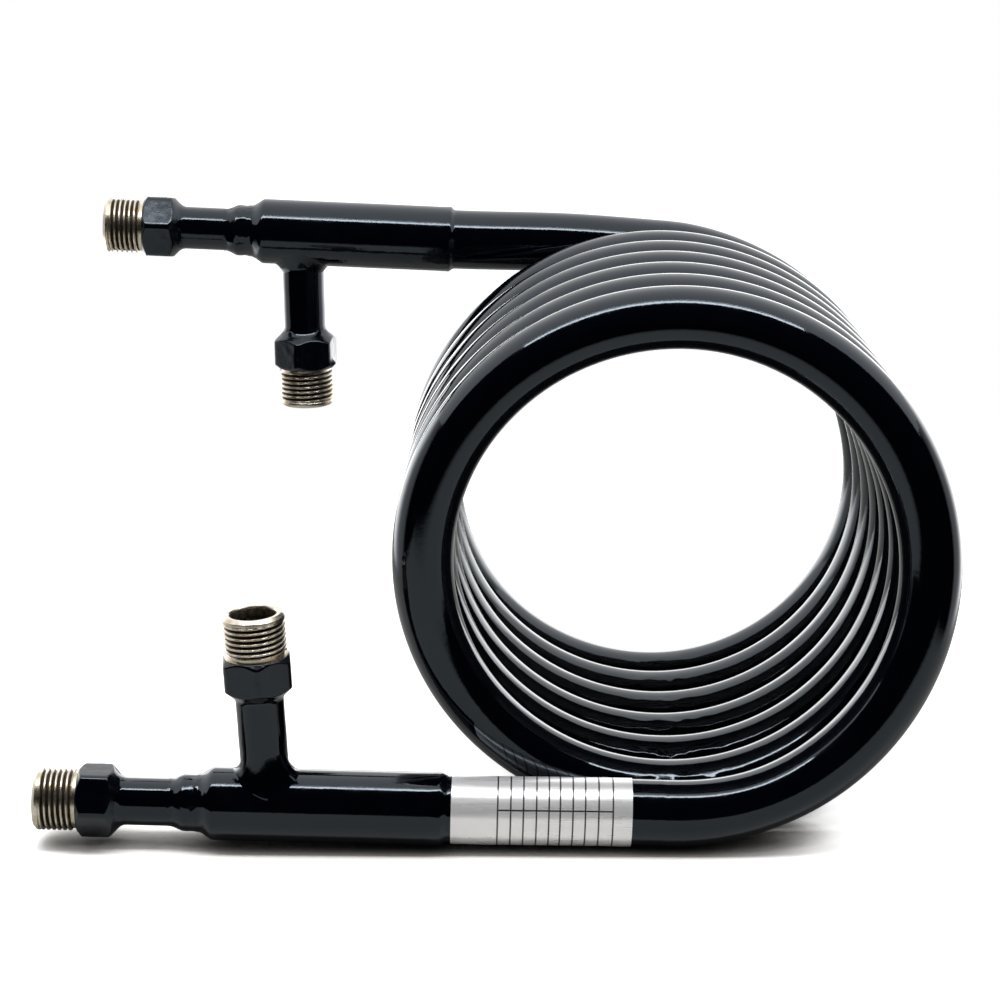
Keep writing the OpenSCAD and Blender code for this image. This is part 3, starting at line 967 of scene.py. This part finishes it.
def floor():
    """Pale floor that fades into the white room all round and shows the object's close shadow."""
    row = FLOOR_STEPS + 1
    marks = np.linspace(-FLOOR_HALF, FLOOR_HALF, row)
    points = [(x, y, FLOOR_Z) for y in marks for x in marks]
    faces = [(i * row + j, i * row + j + 1, (i + 1) * row + j + 1, (i + 1) * row + j)
             for i in range(FLOOR_STEPS) for j in range(FLOOR_STEPS)]
    piece = make_piece("studio_floor", points, faces)
    material = bpy.data.materials.new("pale_floor")
    t = Tree(material)
    where = t.add("TexCoord").outputs["Object"]
    split = t.add("SeparateXYZ", {0: where})
    x, y = split.outputs[0], split.outputs[1]
    aside = t.ramp(t.math("ABSOLUTE", t.math("SUBTRACT", x, FADE_MIDDLE)), *FADE_ASIDE)
    near = t.ramp(y, *FADE_NEAR, 1.0, 0.0)
    far = t.ramp(y, *FADE_FAR)
    fade = t.math("MAXIMUM", aside, t.math("MAXIMUM", near, far))
    # painted shadow: where ambient occlusion finds the object close, the floor's colour goes to near black
    # and the camera-only glow fades, deepening the lamp's real shadow
    shade = t.add("AmbientOcclusion", {"Distance": SHADOW_REACH}, samples=8).outputs["AO"]
    grain = t.noise(where, 0.8, 2)
    pale = t.add("MixRGB", {0: grain, 1: (0.80, 0.77, 0.73, 1), 2: (0.84, 0.81, 0.77, 1)}).outputs[0]
    path = t.add("LightPath")
    pale = t.add("MixRGB", {0: path.outputs["Is Glossy Ray"], 1: pale, 2: FLOOR_MIRRORED}).outputs[0]
    deep = t.ramp(shade, *SHADOW_FADE)
    colour = t.add("MixRGB", {0: deep, 1: (0.01, 0.01, 0.01, 1), 2: pale}).outputs[0]
    matt = t.add("BsdfDiffuse", {"Color": colour, "Roughness": 0.3})
    seen_open = t.math("MULTIPLY", path.outputs["Is Camera Ray"], t.ramp(shade, *GLOW_FADE))
    glow = t.math("MULTIPLY", seen_open, FLOOR_GLOW)
    lit = t.add("Emission", {"Color": WHITE, "Strength": glow})
    solid = t.add("AddShader", {0: matt.outputs[0], 1: lit.outputs[0]})
    clear = t.add("BsdfTransparent")
    mix = t.add("MixShader", {0: fade, 1: solid.outputs[0], 2: clear.outputs[0]})
    t.add("OutputMaterial", {"Surface": mix.outputs[0]})
    piece.data.materials.append(material)


# ---- build ----
MATERIAL = {
    "paint": gloss_paint("gloss_black_paint", 0.055, 0.11, 0.06),
    "worn": gloss_paint("worn_black_paint", 0.10, 0.26, 0.14),
    "metal": bare_metal(),
    "foil": foil(),
}


def dress(piece, material, slot, *nodes):
    if not piece.data.materials:
        piece.data.materials.append(MATERIAL[material])
    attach(piece, "root")
    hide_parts(*nodes)


bpy.context.scene.view_settings.view_transform = "Standard"
camera()
surroundings()
lamp()
ceiling()
floor()
dress(outer_tube(), "paint", "painted_steel", "outer_tube")
dress(inner_tube(), "paint", "painted_steel", "inner_tube")
dress(label(), "foil", "label_foil", "rating_label")
for end in ("front", "rear"):
    dress(header(end), "paint", "painted_steel", end + "_header")
    dress(lap_braze(end), "paint", "painted_steel", end + "_lap_braze")
    dress(neck_braze(end), "paint", "painted_steel", end + "_neck_braze")
    dress(branch_tube(end), "paint", "painted_steel", end + "_branch_tube")
    dress(saddle_braze(end), "paint", "painted_steel", end + "_saddle_braze")
    wort = ARM[end].moved(PORT_REACH)
    water = BRANCH[end].moved(BRANCH_REACH[end])
    for port, run, tube_r in (("wort", wort, INNER_R), ("water", water, BRANCH_R)):
        name = end + "_" + port
        seed = 7.0 + 3 * len(name)
        fillet = socket_braze(name + "_braze_painted", run, tube_r, seed)
        dress(fillet, "paint", "painted_steel", name + "_braze")
        part = fitting(name + "_fitting_finished", run, HEX_TURN[name], tube_r)
        dress(part, "metal", "plated_fitting", name + "_fitting")
